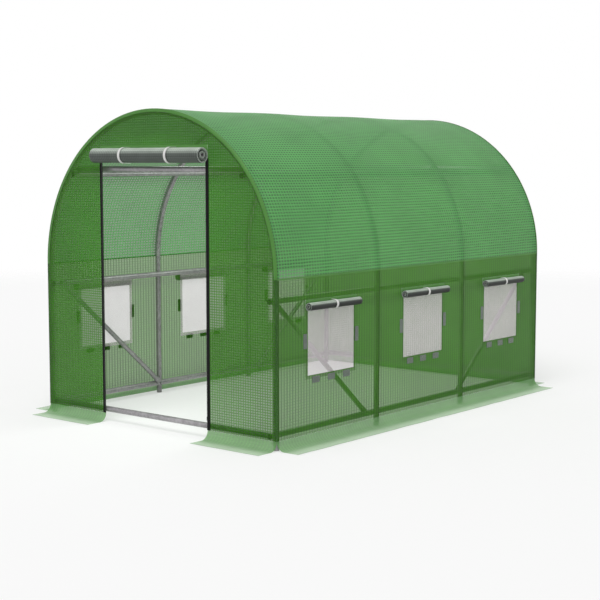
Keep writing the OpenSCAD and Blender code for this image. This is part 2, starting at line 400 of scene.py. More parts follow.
class SpangleGroup(EffectGroup):
    """Crystals of a hot-dip zinc coat, with several grains across each."""

    name = "zinc_spangle"
    numbers = (("Scale", 90.0),)
    outputs = ("Crystal", "Grain")
    grains: float = 8.0

    @classmethod
    def work(cls, bench: NodeBench, given: bpy.types.NodeOutputs) -> dict[str, NodeSocket]:
        """Builds a random value for each crystal and a fine grain over them.

        Args:
            bench: Bench of the group's tree.
            given: The group's inputs.

        Returns:
            What comes out, by name.
        """
        cells = bench.add("ShaderNodeTexVoronoi", {"Vector": given["Place"], "Scale": given["Scale"]})
        crystal = bench.first("ShaderNodeSeparateColor", {0: cells.outputs["Color"]})
        fine = bench.maths("MULTIPLY", given["Scale"], cls.grains)
        grain = bench.first("ShaderNodeTexNoise", {"Vector": given["Place"], "Scale": fine, "Detail": 2.0})
        return {"Crystal": crystal, "Grain": grain}


@dataclass(frozen=True)
class Finish:
    """A named finish, made into a material on first use."""

    name: str

    def material(self) -> bpy.types.Material:
        """The finish's material.

        Returns:
            The material, which is made if it isn't there yet.
        """
        made = bpy.data.materials.get(self.name)
        if made is None:
            made = bpy.data.materials.new(self.name)
            self.dress(NodeBench.on(made))
        return made

    def dress(self, bench: NodeBench) -> None:
        """Builds the material's nodes."""
        raise NotImplementedError


@dataclass(frozen=True)
class FilmFinish(Finish):
    """See-through film with reinforcing yarns, lit from both sides.

    Attributes:
        cell: Colour of the film between the yarns.
        yarn: Colour of the yarns.
        weave: Layout of the yarns.
        cell_cover: Share of light that the film between the yarns stops.
        yarn_cover: Share of light that a yarn stops.
        glow: Share of the stopped light that scatters through to the other side.
    """

    cell: Colour
    yarn: Colour
    weave: Weave
    cell_cover: float
    yarn_cover: float
    glow: float

    def dress(self, bench: NodeBench) -> None:
        """Builds yarns, tone, gloss and the see-through share.

        Args:
            bench: Bench of the material's tree.
        """
        flat = bench.flat()
        weave = WeaveGroup.over(bench, flat, self.weave.value)
        tone = MottleGroup.lay(bench, flat, scale=2.2, low=0.92, high=1.08)["Tone"]
        colour = bench.tint(bench.blend(weave["Yarn"], self.cell, self.yarn), tone)
        normal = bench.bump(weave["Height"], depth=0.0006, strength=0.35)
        rough = bench.ramp(weave["Yarn"], start=0.36, end=0.52)
        face = bench.surface(colour, rough, normal, gloss=0.35)
        cover = bench.ramp(weave["Yarn"], self.cell_cover, self.yarn_cover)
        bench.film(face, colour, normal, self.glow, cover)


@dataclass(frozen=True)
class SkirtFinish(Finish):
    """Pale film that thins towards its outer edge, with a hemmed rim.

    Attributes:
        root: Colour where the skirt leaves its wall.
        tip: Colour near the outer edge.
        hem: Colour of the rim.
        width: Width of the flat cut, from wall to rim.
        fade: Shares of the width where the change from root to tip starts and ends.
        rim: Distances from the outer edge where the rim's colour starts and is full.
        covers: Shares of light that the film stops at its root and at its tip.
        yarn_cover: Share of light that a yarn adds to them.
        rim_cover: Least share of light that the rim stops.
        glow: Share of the stopped light that scatters through to the other side.
    """

    root: Colour
    tip: Colour
    hem: Colour
    width: float
    fade: tuple[float, float] = (0.15, 0.95)
    rim: tuple[float, float] = (0.006, 0.004)
    covers: tuple[float, float] = (0.78, 0.55)
    yarn_cover: float = 0.12
    rim_cover: float = 0.9
    glow: float = 0.35

    def dress(self, bench: NodeBench) -> None:
        """Builds the change from root to tip, the rim and fine lengthwise lines.

        Args:
            bench: Bench of the material's tree.
        """
        flat = bench.flat()
        down = bench.add("ShaderNodeSeparateXYZ", {0: flat}).outputs[Y]
        fade = bench.ramp(down, low=self.fade[0] * self.width, high=self.fade[1] * self.width)
        rim = bench.ramp(down, low=self.width - self.rim[0], high=self.width - self.rim[1])
        weave = WeaveGroup.over(bench, flat, Weave.UPRIGHT.value)
        tone = MottleGroup.lay(bench, flat, scale=4.0, low=0.93, high=1.07)["Tone"]
        colour = bench.blend(rim, bench.tint(bench.blend(fade, self.root, self.tip), tone), self.hem)
        normal = bench.bump(weave["Height"], depth=0.0005, strength=0.3)
        face = bench.surface(colour, bench.ramp(weave["Yarn"], start=0.38, end=0.5), normal)
        yarn = bench.maths("MULTIPLY", weave["Yarn"], self.yarn_cover)
        thin = bench.maths("ADD", bench.ramp(fade, *self.covers), yarn)
        cover = bench.maths("MAXIMUM", thin, bench.maths("MULTIPLY", rim, self.rim_cover))
        bench.film(face, colour, normal, self.glow, cover)


@dataclass(frozen=True)
class ZincFinish(Finish):
    """Galvanised steel with its crystals.

    Attributes:
        dark: Tone of the darkest crystals.
        light: Tone of the lightest crystals.
        scale: Crystals to a metre.
    """

    dark: Colour
    light: Colour
    scale: float = 70.0

    def dress(self, bench: NodeBench) -> None:
        """Builds crystals, a dull bloom and fine grain.

        Args:
            bench: Bench of the material's tree.
        """
        place = bench.place()
        zinc = SpangleGroup.lay(bench, place, scale=self.scale)
        bloom = MottleGroup.lay(bench, place, scale=5.0, low=0.85, high=1.1)["Tone"]
        colour = bench.tint(bench.blend(zinc["Crystal"], self.dark, self.light), bloom)
        rough = bench.ramp(zinc["Crystal"], start=0.34, end=0.48)
        normal = bench.bump(zinc["Grain"], depth=0.0002, strength=0.25)
        bench.output(bench.surface(colour, rough, normal, metal=0.5))


@dataclass(frozen=True)
class ClothFinish(Finish):
    """Close-woven cloth or tape that lets no light through.

    Attributes:
        low: Colour between the yarns.
        high: Colour of the yarns.
        pitch: Distance between yarns, in metres.
        depth: Height of the yarns, in metres.
        sheen: Weight of the soft sheen at a slant.
        rough: Roughness of the yarns.
        gloss: Level of the plain reflection.
        duller: How much rougher the cloth is between its yarns.
        yarn: Share of the pitch that a yarn takes.
    """

    low: Colour
    high: Colour
    pitch: float
    depth: float
    sheen: float
    rough: float
    gloss: float = 0.4
    duller: float = 0.15
    yarn: float = 0.5

    def dress(self, bench: NodeBench) -> None:
        """Builds the weave and its uneven tone.

        Args:
            bench: Bench of the material's tree.
        """
        flat = bench.flat()
        weave = WeaveGroup.over(bench, flat, (self.pitch, self.pitch, self.yarn, self.yarn), softness=0.2)
        tone = MottleGroup.lay(bench, flat, scale=12.0, low=0.86, high=1.12)["Tone"]
        colour = bench.tint(bench.blend(weave["Height"], self.low, self.high), tone)
        rough = bench.ramp(weave["Height"], self.rough + self.duller, self.rough)
        normal = bench.bump(weave["Height"], self.depth, strength=0.6)
        bench.output(bench.surface(colour, rough, normal, self.gloss, self.sheen))


@dataclass(frozen=True)
class RolledFinish(Finish):
    """Rolled-up film, with a painted highlight on top and painted shade underneath.

    Attributes:
        under: Colour of its lower side, in painted shade.
        side: Colour halfway up, still in painted shade.
        top: Colour of its upper side, a painted highlight of the light from above.
        gloss: Level of the plain reflection.
        pitch: Distance between yarns, in metres.
        yarn: Share of the pitch that a yarn takes.
    """

    under: Colour
    side: Colour
    top: Colour
    gloss: float
    pitch: float = 0.016
    yarn: float = 0.45

    def dress(self, bench: NodeBench) -> None:
        """Builds the painted shade on the lower side and the painted highlight on the upper side, the weave
        and an uneven tone.

        Args:
            bench: Bench of the material's tree.
        """
        flat = bench.flat()
        high = bench.add("ShaderNodeAttribute", attribute_name=HIGH_NOTE).outputs["Fac"]
        weave = WeaveGroup.over(bench, flat, (self.pitch, self.pitch, self.yarn, self.yarn), softness=0.18)
        tone = MottleGroup.lay(bench, flat, scale=9.0, low=0.88, high=1.12)["Tone"]
        # Painted light by height round the roll: painted shade towards the lower side, a painted highlight
        # towards the top.
        lower = bench.blend(bench.ramp(high, low=0.0, high=0.55), self.under, self.side)
        colour = bench.blend(bench.ramp(high, low=0.5, high=0.98), lower, self.top)
        yarn = bench.ramp(weave["Height"], start=0.62, end=1.30)
        rough = bench.ramp(weave["Height"], start=0.55, end=0.40)
        normal = bench.bump(weave["Height"], depth=0.0005, strength=0.5)
        bench.output(bench.surface(bench.tint(bench.tint(colour, tone), yarn), rough, normal, self.gloss))


@dataclass(frozen=True)
class MouldedFinish(Finish):
    """Moulded or drawn plastic with a faint grain.

    Attributes:
        colour: Colour of the plastic.
        rough: Middle of its roughness.
        scale: Grains to a metre.
        uneven: How far its tone strays to either side.
        stray: How far its roughness strays down and up.
    """

    colour: Colour
    rough: float
    scale: float = 400.0
    uneven: float = 0.14
    stray: tuple[float, float] = (0.08, 0.1)

    def dress(self, bench: NodeBench) -> None:
        """Builds an uneven tone, roughness and grain.

        Args:
            bench: Bench of the material's tree.
        """
        place = bench.place()
        tone = MottleGroup.lay(bench, place, scale=9.0, low=1.0 - self.uneven, high=1.0 + self.uneven)["Tone"]
        grain = bench.first("ShaderNodeTexNoise", {"Vector": place, "Scale": self.scale, "Detail": 2.0})
        down, up = self.stray
        rough = bench.ramp(grain, self.rough - down, self.rough + up, low=0.3, high=0.7)
        normal = bench.bump(grain, depth=0.0002, strength=0.3)
        bench.output(bench.surface(bench.tint(self.colour, tone), rough, normal))


@dataclass(frozen=True)
class FloorFinish(Finish):
    """Pale studio floor that fades out before its edge.

    Attributes:
        colour: Colour of the floor.
        near: Distance where it starts to fade.
        far: Distance where it is gone.
        white: Share of plain white that is shown over the lit floor.
    """

    colour: Colour
    near: float
    far: float
    white: float = 0.45

    def dress(self, bench: NodeBench) -> None:
        """Builds a plain floor with a fade by distance.

        Args:
            bench: Bench of the material's tree.
        """
        away = bench.add("ShaderNodeVectorMath", {0: bench.place()}, operation="LENGTH").outputs["Value"]
        fade = bench.ramp(away, low=self.near, high=self.far)
        face = bench.first("ShaderNodeBsdfDiffuse", {"Color": (*self.colour, 1.0)})
        plain = bench.first("ShaderNodeEmission", {"Color": WHITE, "Strength": 1.0})
        shown = bench.mix(bench.ramp(bench.seen(), end=self.white), face, plain)
        bench.output(bench.mix(fade, shown, bench.first("ShaderNodeBsdfTransparent")))


WALL_FILM = FilmFinish(
    "woven_end_film",
    cell=(0.053, 0.238, 0.008),
    yarn=(0.046, 0.199, 0.008),
    weave=Weave.GRID,
    cell_cover=0.71,
    yarn_cover=0.90,
    glow=0.5,
)
SIDE_FILM = FilmFinish(
    "woven_side_film",
    cell=(0.066, 0.282, 0.006),
    yarn=(0.042, 0.174, 0.006),
    weave=Weave.UPRIGHT,
    cell_cover=0.74,
    yarn_cover=0.87,
    glow=0.5,
)
# The roof's yarns are much lighter than its cells, unlike the walls': partly the yarns' own pale tone and
# partly a painted highlight of the light from above.
ROOF_FILM = FilmFinish(
    "woven_roof_film",
    cell=(0.020, 0.115, 0.018),
    yarn=(0.110, 0.405, 0.110),
    weave=Weave.ROWS,
    cell_cover=0.75,
    yarn_cover=0.94,
    glow=0.2,
)
SEAM_FILM = FilmFinish(
    "woven_seam_film",
    cell=(0.088, 0.270, 0.050),
    yarn=(0.096, 0.290, 0.056),
    weave=Weave.FINE,
    cell_cover=0.88,
    yarn_cover=0.95,
    glow=0.15,
)
EDGE_FILM = FilmFinish(
    "woven_edge_film",
    cell=(0.045, 0.150, 0.025),
    yarn=(0.050, 0.165, 0.028),
    weave=Weave.FINE,
    cell_cover=0.70,
    yarn_cover=0.80,
    glow=0.25,
)
SKIRT_FILM = SkirtFinish(
    "pale_skirt_film", root=(0.17, 0.40, 0.13), tip=(0.46, 0.66, 0.43), hem=(0.32, 0.42, 0.32), width=0.193
)
ZINC = ZincFinish("zinc_coated_tube", dark=(0.29, 0.275, 0.29), light=(0.40, 0.385, 0.40))
# Rolled film: the under and side colours are painted shade, and the top colour is a painted highlight.
ROLLED_DOOR = RolledFinish(
    "rolled_door_film",
    under=(0.060, 0.075, 0.064),
    side=(0.066, 0.080, 0.070),
    top=(0.500, 0.570, 0.500),
    gloss=0.4,
)
ROLLED_FLAP = RolledFinish(
    "rolled_flap_film",
    under=(0.016, 0.019, 0.017),
    side=(0.026, 0.030, 0.027),
    top=(0.520, 0.600, 0.520),
    gloss=0.2,
)
PALE_EDGE = MouldedFinish("pale_cut_edge", (0.58, 0.62, 0.59), rough=0.5)
WEBBING = ClothFinish(
    "white_webbing",
    low=(0.62, 0.62, 0.60),
    high=(0.86, 0.86, 0.84),
    pitch=0.0022,
    depth=0.0004,
    sheen=0.3,
    rough=0.75,
)
ZIP_TAPE = ClothFinish(
    "zip_tape",
    low=(0.005, 0.005, 0.005),
    high=(0.014, 0.014, 0.015),
    pitch=0.0016,
    depth=0.0003,
    sheen=0.0,
    rough=0.75,
    gloss=0.12,
)
ZIP_TEETH = MouldedFinish("zip_teeth", (0.016, 0.016, 0.017), rough=0.35)
TAB_PILE = ClothFinish(
    "tab_pile",
    low=(0.060, 0.085, 0.065),
    high=(0.135, 0.175, 0.140),
    pitch=0.0018,
    depth=0.0008,
    sheen=0.5,
    rough=0.85,
)
NET_STRAND = MouldedFinish("net_strand", (0.80, 0.728, 0.770), rough=0.5, scale=900.0, uneven=0.03)


def halfway(node: str, axis: int) -> float:
    """Middle of a CAD node's box along an axis."""
    low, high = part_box(node)
    return (low[axis] + high[axis]) / 2


def spaced(count: int, pitch: float) -> list[float]:
    """Places of evenly spaced things, from the middle of their row."""
    return [(i - (count - 1) / 2) * pitch for i in range(count)]


def place_uv(bm: BMesh, flat: Callable[[BMVert], tuple[float, float]]) -> None:
    """Gives each corner of a mesh its place on the flat cut.

    Args:
        bm: The mesh.
        flat: Gives a vertex's place on the flat cut, in metres.
    """
    layer = bm.loops.layers.uv.new(FLAT_MAP)
    for face in bm.faces:
        for loop in face.loops:
            loop[layer].uv = flat(loop.vert)


def box_uv(bm: BMesh) -> None:
    """Gives each face the two of its places that it lies along.

    Args:
        bm: The mesh.
    """
    layer = bm.loops.layers.uv.new(FLAT_MAP)
    for face in bm.faces:
        drop = max((X, Y, Z), key=lambda i: abs(face.normal[i]))
        first, second = (i for i in (X, Y, Z) if i != drop)
        for loop in face.loops:
            loop[layer].uv = (loop.vert.co[first], loop.vert.co[second])


def cut(bm: BMesh, point: Vector, normal: Vector) -> None:
    """Cuts every face that crosses a plane."""
    geom = bm.verts[:] + bm.edges[:] + bm.faces[:]
    bmesh.ops.bisect_plane(bm, geom=geom, dist=TINY, plane_co=point, plane_no=normal)


def open_up(bm: BMesh, inside: Callable[[Vector], bool]) -> None:
    """Deletes the faces whose middle passes a test."""
    gone = [face for face in bm.faces if inside(face.calc_center_median())]
    bmesh.ops.delete(bm, geom=gone, context="FACES")


def face_out(bm: BMesh, out: Callable[[Vector], Vector]) -> None:
    """Turns an open sheet over if most of it faces the wrong way.

    Args:
        bm: The sheet.
        out: Gives the outward way at a point.
    """
    bm.normal_update()
    if sum(face.normal.dot(out(face.calc_center_median())) for face in bm.faces) < 0.0:
        bmesh.ops.reverse_faces(bm, faces=bm.faces[:])


def verts_of(edges: Iterable[BMEdge]) -> list[BMVert]:
    """The vertices of some edges, each one once."""
    return list(dict.fromkeys(vert for edge in edges for vert in edge.verts))


def line(bm: BMesh, start: Sequence[float], end: Sequence[float], steps: int = 1) -> list[BMEdge]:
    """Adds a straight line to an empty mesh.

    Args:
        bm: The mesh.
        start: One end of the line.
        end: The other end.
        steps: Number of edges.

    Returns:
        The line's edges.
    """
    edge = bm.edges.new([bm.verts.new(start), bm.verts.new(end)])
    if steps > 1:
        bmesh.ops.subdivide_edges(bm, edges=[edge], cuts=steps - 1)
    return bm.edges[:]


def drawn(bm: BMesh, edges: Sequence[BMEdge], move: Vector) -> list[BMEdge]:
    """Draws edges out into faces.

    Args:
        bm: The mesh.
        edges: The edges to draw out.
        move: How far they go.

    Returns:
        The edges at the far side.
    """
    made = bmesh.ops.extrude_edge_only(bm, edges=list(edges))["geom"]
    verts = [g for g in made if isinstance(g, BMVert)]
    bmesh.ops.translate(bm, verts=verts, vec=move)
    return [g for g in made if isinstance(g, BMEdge)]


def spun(
    bm: BMesh, geom: list[BMVert | BMEdge], centre: Vector, axis: Vector, angle: float, steps: int
) -> list[BMEdge]:
    """Spins vertices and edges into edges and faces, and gives the edges at the end of the spin."""
    made = bmesh.ops.spin(bm, geom=geom, cent=centre, axis=axis, angle=angle, steps=steps)["geom_last"]
    return [g for g in made if isinstance(g, BMEdge)]


def moved(bm: BMesh, place: Matrix) -> None:
    """Moves a whole mesh to its place."""
    bmesh.ops.transform(bm, matrix=place, verts=bm.verts[:])


def bevelled(bm: BMesh, geom: list[BMVert] | list[BMEdge], offset: float, affect: str, segments: int) -> None:
    """Rounds corners or edges of a mesh."""
    bmesh.ops.bevel(bm, geom=geom, offset=offset, affect=affect, segments=segments, profile=0.5, material=-1)


def slab(bm: BMesh, middle: Vector, size: Vector) -> None:
    """Adds a box by its middle and its size."""
    place = Matrix.Translation(middle) @ Matrix.Diagonal((*size, 1.0))
    bmesh.ops.create_cube(bm, size=1.0, matrix=place)


def join(bm: BMesh, other: BMesh) -> None:
    """Adds another mesh to a mesh, and frees it.

    Args:
        bm: The mesh that grows.
        other: The mesh that is added.
    """
    spare = bpy.data.meshes.new("spare")
    other.to_mesh(spare)
    other.free()
    bm.from_mesh(spare)
    bpy.data.meshes.remove(spare)


def numbered(bm: BMesh) -> None:
    """Numbers a mesh by its places, because Blender's operators can number it otherwise in each run.

    Args:
        bm: The mesh.
    """
    for i, vert in enumerate(sorted(bm.verts, key=lambda v: [round(c / TINY) for c in v.co])):
        vert.index = i
    bm.verts.sort()
    for parts in (bm.edges, bm.faces):
        for i, part in enumerate(sorted(parts, key=lambda p: sorted(v.index for v in p.verts))):
            part.index = i
        parts.sort()


def linked(name: str, data: bpy.types.ID) -> Object:
    """Makes an object of a mesh, light or camera and puts it in the scene.

    Args:
        name: Name of the object.
        data: The mesh, light or camera.

    Returns:
        The new object.
    """
    made = bpy.data.objects.new(name, data)
    bpy.context.scene.collection.objects.link(made)
    return made


def formed(bm: BMesh, name: str, *finishes: Finish) -> Object:
    """Makes a mesh into an object with its finishes, and frees it.

    Args:
        bm: The finished mesh.
        name: Name of the object.
        *finishes: What it is made of.

    Returns:
        The new object.
    """
    mesh = bpy.data.meshes.new(name)
    numbered(bm)
    bm.to_mesh(mesh)
    bm.free()
    for finish in finishes:
        mesh.materials.append(finish.material())
    return linked(name, mesh)


def piece(
    bm: BMesh, name: str, slot: str, *finishes: Finish, replaces: Sequence[str] = (), smooth: bool = True
) -> Object:
    """Makes a mesh into a piece that rides on the tunnel.

    Args:
        bm: The finished mesh, which is freed.
        name: Name of the piece.
        slot: Material slot of the record that it takes its finish from; not used.
        *finishes: What it is made of, in the order of its faces' material numbers.
        replaces: CAD nodes that it stands for.
        smooth: Whether it is shaded smooth.

    Returns:
        The new piece.
    """
    for face in bm.faces:
        face.smooth = smooth
    made = formed(bm, name, *finishes)
    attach(made, BODY)
    if replaces:
        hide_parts(*replaces)
    LOG.info("%s: %d faces", name, len(made.data.polygons))
    return made


def thicken(made: Object, thickness: float, rim: int = 0) -> None:
    """Gives a sheet its thickness, half to each side.

    Args:
        made: The sheet.
        thickness: Its thickness.
        rim: Number of the material on its cut edges.
    """
    modifier = made.modifiers.new("thickness", "SOLIDIFY")
    modifier.thickness = thickness
    modifier.offset = 0.0
    modifier.material_offset_rim = rim


@dataclass(frozen=True)
class Tunnel:
    """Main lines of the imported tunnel, in metres, at the middle of the film.

    Attributes:
        arch_r: Radius of the roof.
        half_l: Distance from the middle to each end wall.
        spring_z: Height where the roof springs from the walls.
        wall_z: Height of the walls' lower edge.
        hoop_y: Distance from the middle to each end hoop.
        film: Thickness of the film's solids.
        door_x: Half the width of the doorway.
        door_z: Height of the doorway's upper edge.
    """

    arch_r: float
    half_l: float
    spring_z: float
    wall_z: float
    hoop_y: float
    film: float
    door_x: float
    door_z: float

    @classmethod
    def read(cls) -> Tunnel:
        """Reads the lines from the CAD nodes.

        Returns:
            The tunnel's lines.
        """
        low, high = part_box("right_side_wall")
        return cls(
            arch_r=halfway("right_side_wall", X),
            half_l=halfway("rear_wall", Y),
            spring_z=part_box("roof_cover")[0].z,
            wall_z=low.z,
            hoop_y=halfway("rear_hoop_arch", Y),
            film=high.x - low.x,
            door_x=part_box("front_wall_right")[0].x,
            door_z=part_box("front_wall_top")[0].z,
        )

    @property
    def bay(self) -> float:
        """Distance between two hoops."""
        return 2 * self.hoop_y / BAYS

    @property
    def row_l(self) -> float:
        """Distance between the middles of the first and the last bay."""
        return (BAYS - 1) * self.bay

    @property
    def face_x(self) -> float:
        """Distance from the middle to a side wall's outer face."""
        return self.arch_r + self.film / 2

    @property
    def face_y(self) -> float:
        """Distance from the middle to an end wall's outer face."""
        return self.half_l + self.film / 2

    @property
    def axis(self) -> Vector:
        """Middle of the roof's arc."""
        return UP * self.spring_z

    def bow(self, y: float) -> float:
        """How far the film is from a hoop, as a share: 0 on a hoop and 1 halfway between two.

        Args:
            y: Place along the tunnel.

        Returns:
            The share.
        """
        if abs(y) >= self.hoop_y:
            return 0.0
        return math.sin(math.pi * (y + self.hoop_y) / self.bay) ** 2


@dataclass
class Cover:
    """Film over the frame: roof, side walls and end walls, with their seams.

    Attributes:
        tunnel: Lines of the tunnel.
        sag: How far the roof sags between two hoops.
        sag_onset: How soon the sag sets in above the eaves: it is full at the roof's radius over this.
        ripple: How far the roof wanders from its arc.
        ripples: Ripples to a metre.
        ripple_seed: Place in the noise that the ripples are read from.
        arch_steps: Faces round the roof.
        bay_steps: Faces between two hoops.
        rows: Faces up a wall.
        seam_w: Width of a seam.
        hem_w: Width of the fold that the roof makes on an end wall.
        seam_lift: How far a seam stands off its film.
    """

    tunnel: Tunnel
    sag: float = 0.005
    sag_onset: float = 3.0
    ripple: float = 0.0008
    ripples: float = 4.0
    ripple_seed: float = 3.0
    arch_steps: int = 72
    bay_steps: int = 14
    rows: int = 14
    seam_w: float = 0.010
    hem_w: float = 0.020
    seam_lift: float = 0.0008

    def build(self) -> None:
        """Builds every sheet of the cover."""
        self.roof()
        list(self.eave_seams())
        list(self.arch_seams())
        for wall in SIDES:
            self.side(wall)
        self.end(Wall.FRONT, "front_wall_left", "front_wall_right", "front_wall_top")
        self.end(Wall.REAR, "rear_wall")

    def roof(self) -> Object:
        """Builds the roof as one sheet turned over the arches, sagging a little between them.

        Returns:
            The roof.
        """
        t = self.tunnel
        bm = bmesh.new()
        line(bm, (t.arch_r, -t.half_l, t.spring_z), (t.arch_r, t.half_l, t.spring_z), BAYS * self.bay_steps)
        spun(bm, bm.verts[:] + bm.edges[:], t.axis, -BACK, math.pi, self.arch_steps)
        face_out(bm, lambda at: Vector((at.x, 0.0, at.z - t.spring_z)))
        place_uv(bm, lambda v: (v.co.y, t.arch_r * math.atan2(v.co.z - t.spring_z, v.co.x)))
        shift = Vector((self.ripple_seed, self.ripple_seed, self.ripple_seed))
        for vert in bm.verts:
            inward = Vector((-vert.co.x, 0.0, t.spring_z - vert.co.z)).normalized()
            high = min(1.0, self.sag_onset * (vert.co.z - t.spring_z) / t.arch_r)
            wander = self.ripple * noise.noise(vert.co * self.ripples + shift)
            vert.co += inward * (self.sag * high * t.bow(vert.co.y) + high * wander)
        return piece(bm, "roof_film", "roof_film", ROOF_FILM, replaces=("roof_cover",))

    def side(self, wall: Wall) -> None:
        """Builds a side wall and cuts its three windows.

        Args:
            wall: Left or right.
        """
        t = self.tunnel
        bm = bmesh.new()
        height = t.spring_z - t.wall_z
        bmesh.ops.create_grid(bm, x_segments=BAYS * self.bay_steps, y_segments=self.rows, size=0.5)
        spread = Matrix.Diagonal((2 * t.half_l, height, 1.0, 1.0))
        turn = Matrix((wall.along, UP, wall.out)).transposed().to_4x4()
        middle = wall.out * t.arch_r + UP * (t.wall_z + height / 2)
        moved(bm, Matrix.Translation(middle) @ turn @ spread)
        openings = WindowSet.read(t).openings(wall)
        for opening in openings:
            for corner in opening:
                cut(bm, corner, BACK)
                cut(bm, corner, UP)
        open_up(
            bm, lambda at: any(low.y < at.y < high.y and low.z < at.z < high.z for low, high in openings)
        )
        face_out(bm, lambda at: wall.out)
        place_uv(bm, lambda v: (v.co.y, v.co.z))
        node = f"{wall.word}_side_wall"
        made = piece(bm, f"{wall.word}_side_film", "wall_film", SIDE_FILM, replaces=(node,))

    def end(self, wall: Wall, *nodes: str) -> None:
        """Builds an end wall as strips that hang from the arch, and cuts the doorway in the front one.

        Args:
            wall: Front or rear.
            *nodes: CAD nodes that it stands for.
        """
        t = self.tunnel
        bm = bmesh.new()
        start = bm.verts.new(wall.out * t.half_l + Vector((t.arch_r, 0.0, t.spring_z)))
        spun(bm, [start], wall.out * t.half_l + t.axis, -BACK, math.pi, self.arch_steps)
        for vert in verts_of(drawn(bm, bm.edges[:], Vector())):
            vert.co.z = t.wall_z
        height = t.spring_z + t.arch_r - t.wall_z
        for row in range(1, self.rows):
            cut(bm, UP * (t.wall_z + row * height / self.rows), UP)
        face_out(bm, lambda at: wall.out)
        area = math.pi * t.arch_r**2 / 2 + 2 * t.arch_r * (t.spring_z - t.wall_z)
        if wall is Wall.FRONT:
            for x in (-t.door_x, t.door_x):
                cut(bm, RIGHT * x, RIGHT)
            cut(bm, UP * t.door_z, UP)
            open_up(bm, lambda at: abs(at.x) < t.door_x and at.z < t.door_z)
            area -= 2 * t.door_x * (t.door_z - t.wall_z)
        place_uv(bm, lambda v: (v.co.x, v.co.z))
        made = piece(bm, f"{wall.word}_film", "wall_film", WALL_FILM, replaces=nodes)

    def eave_seams(self) -> list[Object]:
        """Builds the welded seam between the roof and each side wall.

        Returns:
            Both seams.
        """
        t = self.tunnel
        made = []
        for wall in SIDES:
            bm = bmesh.new()
            x = wall.out.x * (t.face_x + self.seam_lift)
            z = t.spring_z + self.seam_w / 2
            drawn(bm, line(bm, (x, -t.half_l, z), (x, t.half_l, z)), -UP * self.seam_w)
            face_out(bm, lambda at, way=wall.out: way)
            place_uv(bm, lambda v: (v.co.y, v.co.z))
            made.append(piece(bm, f"{wall.word}_eave_seam", "wall_film", SEAM_FILM))
        return made

    def fold(self, bm: BMesh, wall: Wall, side: float, width: float) -> list[BMEdge]:
        """Adds the line across a fold at the spring line, from an end wall round its edge.

        Args:
            bm: The mesh of the fold.
            wall: Front or rear.
            side: 1 at the right edge and -1 at the left.
            width: Width of the fold on the end wall.

        Returns:
            The edges of the line.
        """
        t = self.tunnel
        x = t.face_x + self.seam_lift
        y = wall.out.y * (t.face_y + self.seam_lift)
        profile = [(x - width, y), (x, y), (x, y - wall.out.y * self.seam_w)]
        verts = [bm.verts.new((side * across, along, t.spring_z)) for across, along in profile]
        return [bm.edges.new(pair) for pair in zip(verts, verts[1:], strict=False)]

    def arch_seams(self) -> list[Object]:
        """Builds the roof's fold over the edge of each end wall, and the side walls' folds below it.

        Returns:
            The folds of both ends.
        """
        t = self.tunnel
        made = []
        for wall in ENDS:
            bm = bmesh.new()
            edges = self.fold(bm, wall, 1.0, self.hem_w)
            spun(bm, bm.verts[:] + edges, t.axis, -BACK, math.pi, self.arch_steps)
            for side in (-1.0, 1.0):
                drawn(bm, self.fold(bm, wall, side, self.seam_w), -UP * (t.spring_z - t.wall_z))
            bmesh.ops.recalc_face_normals(bm, faces=bm.faces[:])
            for face in bm.faces:
                at = face.calc_center_median()
                outwards = Vector((at.x, 0.0, max(0.0, at.z - t.spring_z))) + wall.out
                if face.normal.dot(outwards) < 0.0:
                    face.normal_flip()
                # The folds below the spring line are the side walls', and have the second finish.
                face.material_index = int(at.z < t.spring_z)
            place_uv(bm, lambda v: (v.co.x + v.co.y, v.co.z))
            made.append(piece(bm, f"{wall.word}_arch_seam", "wall_film", SEAM_FILM, EDGE_FILM))
        return made


